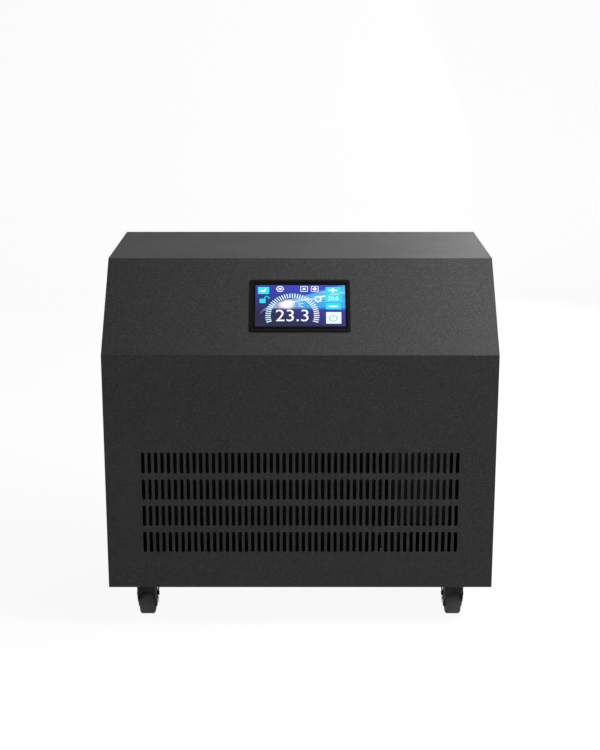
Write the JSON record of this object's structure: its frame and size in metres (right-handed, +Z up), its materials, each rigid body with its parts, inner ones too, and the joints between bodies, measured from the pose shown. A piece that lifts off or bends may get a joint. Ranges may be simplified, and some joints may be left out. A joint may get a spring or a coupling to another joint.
{
  "type": "water chiller",
  "caption": "Black sheet-metal water chiller on four castors, with a punched front grille, a sloped face with a touch screen, side grips and rear water ports.",
  "frame": {"origin": "on the floor under the middle of the whole object", "axes": "+X to the right seen from the front, +Y from the front to the back, +Z up"},
  "size_m": [0.663, 0.45, 0.622],
  "materials": {
    "cabinet_paint": "fine textured powder coat",
    "hood_paint": "fine textured powder coat",
    "zinc": "zinc plated",
    "screw_black": "black oxide",
    "bezel_black": "gloss",
    "screen": "lit screen behind glass",
    "black_plastic": "satin",
    "castor_black": "satin black",
    "hub_black": "satin",
    "tyre_grey": "matt",
    "fins": "black coated",
    "copper": "bare copper",
    "inner_black": "satin black",
    "fan_metal": "mill finish",
    "grommet_rubber": "matt",
    "insulation": "closed cell foam",
    "pump_plastic": "satin",
    "impeller_white": "satin",
    "motor_blue": "enamel",
    "hose_rubber": "matt",
    "brass": "machined",
    "box_grey": "satin",
    "board_green": "solder mask",
    "rocker_black": "gloss"
  },
  "bodies": {
    "cabinet": {"base_tray": "cabinet_paint", "front_panel": "cabinet_paint", "hood": "hood_paint", "left_side_panel": "cabinet_paint", "right_side_panel": "cabinet_paint", "rear_panel": "cabinet_paint", "bulkhead": "inner_black", "cabinet_screws": "screw_black", "display_bezel": "bezel_black", "touch_screen": "screen", "display_case": "black_plastic", "left_handle_cup": "black_plastic", "right_handle_cup": "black_plastic", "castor_plates": "zinc", "castor_bolts": "zinc", "condenser_fins": "fins", "condenser_tubes": "fins", "fan_shroud": "inner_black", "fan_motor": "inner_black", "compressor_shell": "inner_black", "compressor_grommets": "grommet_rubber", "suction_accumulator": "inner_black", "evaporator_shell": "insulation", "evaporator_cap": "inner_black", "pump_volute": "pump_plastic", "pump_motor": "motor_blue", "filter_drier": "copper", "discharge_pipe": "copper", "liquid_pipes": "copper", "suction_pipes": "insulation", "water_hoses": "hose_rubber", "water_inlet_union": "brass", "water_outlet_union": "brass", "port_nuts": "brass", "control_box": "box_grey", "control_box_cover": "box_grey", "control_board": "board_green", "power_inlet": "black_plastic"},
    "front_left_swivel": {"front_left_castor_fork": "castor_black", "front_left_castor_axle": "zinc"},
    "front_left_wheel": {"front_left_wheel_hub": "hub_black", "front_left_wheel_tyre": "tyre_grey"},
    "front_left_brake": {"front_left_brake_lever": "castor_black"},
    "front_right_swivel": {"front_right_castor_fork": "castor_black", "front_right_castor_axle": "zinc"},
    "front_right_wheel": {"front_right_wheel_hub": "hub_black", "front_right_wheel_tyre": "tyre_grey"},
    "front_right_brake": {"front_right_brake_lever": "castor_black"},
    "rear_left_swivel": {"rear_left_castor_fork": "castor_black", "rear_left_castor_axle": "zinc"},
    "rear_left_wheel": {"rear_left_wheel_hub": "hub_black", "rear_left_wheel_tyre": "tyre_grey"},
    "rear_right_swivel": {"rear_right_castor_fork": "castor_black", "rear_right_castor_axle": "zinc"},
    "rear_right_wheel": {"rear_right_wheel_hub": "hub_black", "rear_right_wheel_tyre": "tyre_grey"},
    "fan": {"fan_rotor": "fan_metal"},
    "impeller": {"pump_impeller": "impeller_white"},
    "rocker": {"power_rocker": "rocker_black"}
  },
  "joints": [
    {"name": "front_left_castor_swivel", "type": "hinge", "parent": "cabinet", "child": "front_left_swivel", "pos_m": [-0.269, -0.185, 0.0722], "axis": [0, 0, 1], "continuous": true},
    {"name": "front_left_wheel_roll", "type": "hinge", "parent": "front_left_swivel", "child": "front_left_wheel", "pos_m": [-0.269, -0.168, 0.025], "axis": [1, 0, 0], "continuous": true},
    {"name": "front_left_brake_press", "type": "hinge", "parent": "front_left_swivel", "child": "front_left_brake", "pos_m": [-0.269, -0.166, 0.036], "axis": [-1, 0, 0], "range_deg": [0, 15]},
    {"name": "front_right_castor_swivel", "type": "hinge", "parent": "cabinet", "child": "front_right_swivel", "pos_m": [0.269, -0.185, 0.0722], "axis": [0, 0, 1], "continuous": true},
    {"name": "front_right_wheel_roll", "type": "hinge", "parent": "front_right_swivel", "child": "front_right_wheel", "pos_m": [0.269, -0.168, 0.025], "axis": [1, 0, 0], "continuous": true},
    {"name": "front_right_brake_press", "type": "hinge", "parent": "front_right_swivel", "child": "front_right_brake", "pos_m": [0.269, -0.166, 0.036], "axis": [-1, 0, 0], "range_deg": [0, 15]},
    {"name": "rear_left_castor_swivel", "type": "hinge", "parent": "cabinet", "child": "rear_left_swivel", "pos_m": [-0.269, 0.157, 0.0722], "axis": [0, 0, 1], "continuous": true},
    {"name": "rear_left_wheel_roll", "type": "hinge", "parent": "rear_left_swivel", "child": "rear_left_wheel", "pos_m": [-0.269, 0.174, 0.025], "axis": [1, 0, 0], "continuous": true},
    {"name": "rear_right_castor_swivel", "type": "hinge", "parent": "cabinet", "child": "rear_right_swivel", "pos_m": [0.269, 0.157, 0.0722], "axis": [0, 0, 1], "continuous": true},
    {"name": "rear_right_wheel_roll", "type": "hinge", "parent": "rear_right_swivel", "child": "rear_right_wheel", "pos_m": [0.269, 0.174, 0.025], "axis": [1, 0, 0], "continuous": true},
    {"name": "fan_spin", "type": "hinge", "parent": "cabinet", "child": "fan", "pos_m": [-0.079, -0.139, 0.246], "axis": [0, 1, 0], "continuous": true},
    {"name": "pump_spin", "type": "hinge", "parent": "cabinet", "child": "impeller", "pos_m": [-0.188, 0.105, 0.134], "axis": [1, 0, 0], "continuous": true},
    {"name": "power_switch", "type": "hinge", "parent": "cabinet", "child": "rocker", "pos_m": [0.2405, 0.1935, 0.1585], "axis": [-1, 0, 0], "range_deg": [0, 20]}
  ]
}
